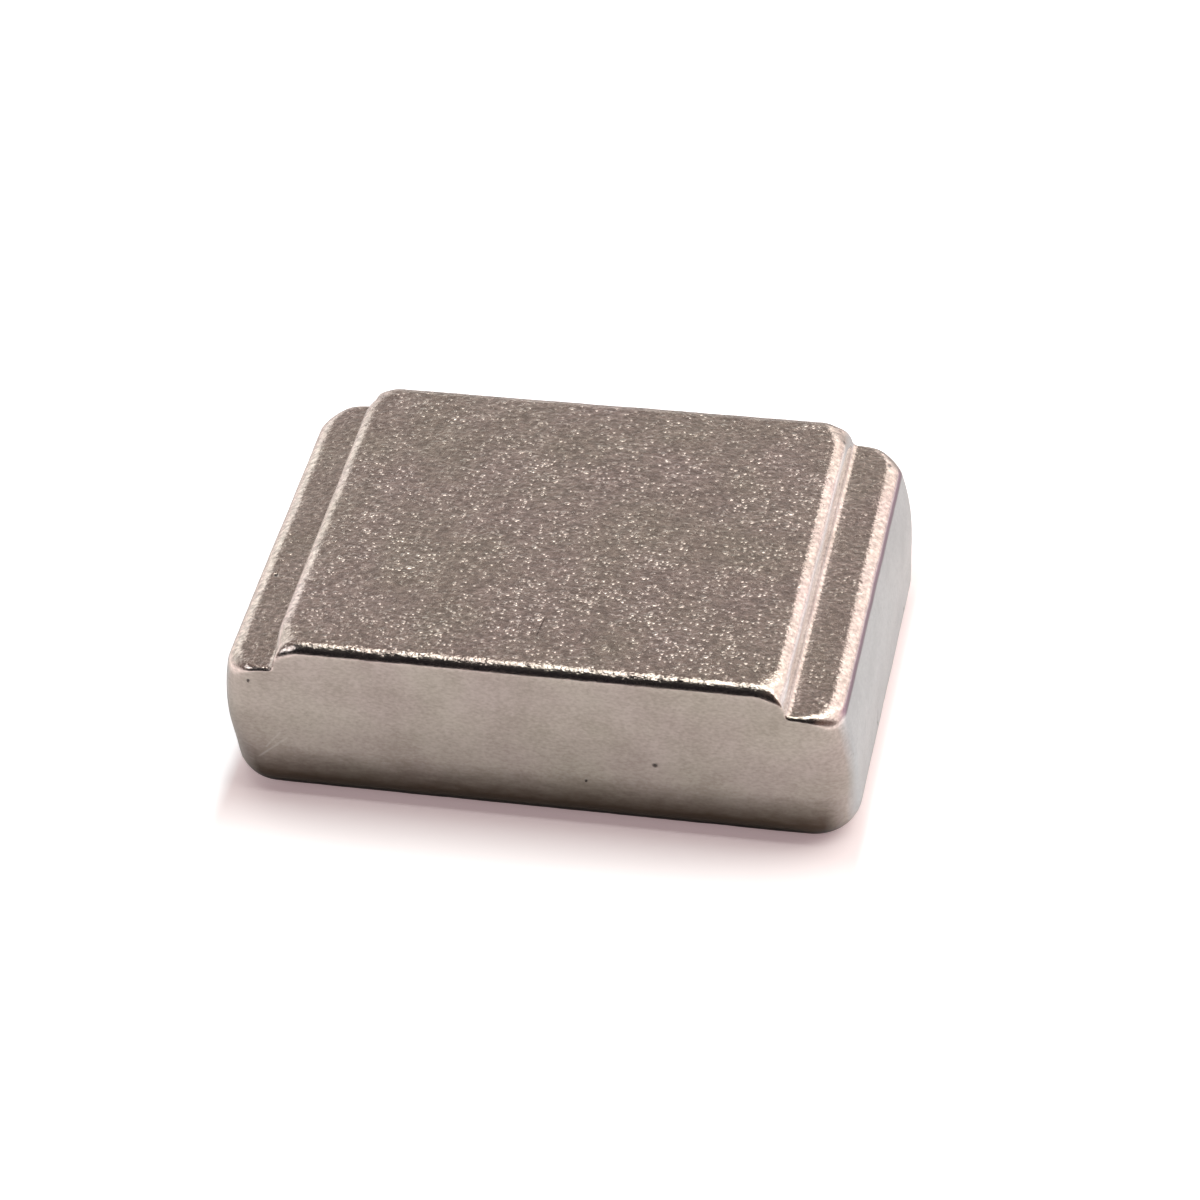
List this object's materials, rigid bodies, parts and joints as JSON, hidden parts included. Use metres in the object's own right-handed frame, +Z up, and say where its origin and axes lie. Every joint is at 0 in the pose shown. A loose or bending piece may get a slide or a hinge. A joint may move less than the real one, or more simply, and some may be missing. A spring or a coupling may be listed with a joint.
{
  "type": "block magnet",
  "caption": "Nickel-plated neodymium block magnet whose short ends are stepped down to narrow ledges, leaving a raised land between them.",
  "frame": {"origin": "middle of the flat lower face, on the surface that the block rests on", "axes": "+X along the length from one stepped end to the other, +Y from the front long side to the back one, +Z up through the poles to the raised land"},
  "size_m": [0.02, 0.013, 0.0064],
  "materials": {
    "nickel_plating": "satin"
  },
  "bodies": {
    "root": {"magnet_block": "nickel_plating"}
  },
  "joints": []
}
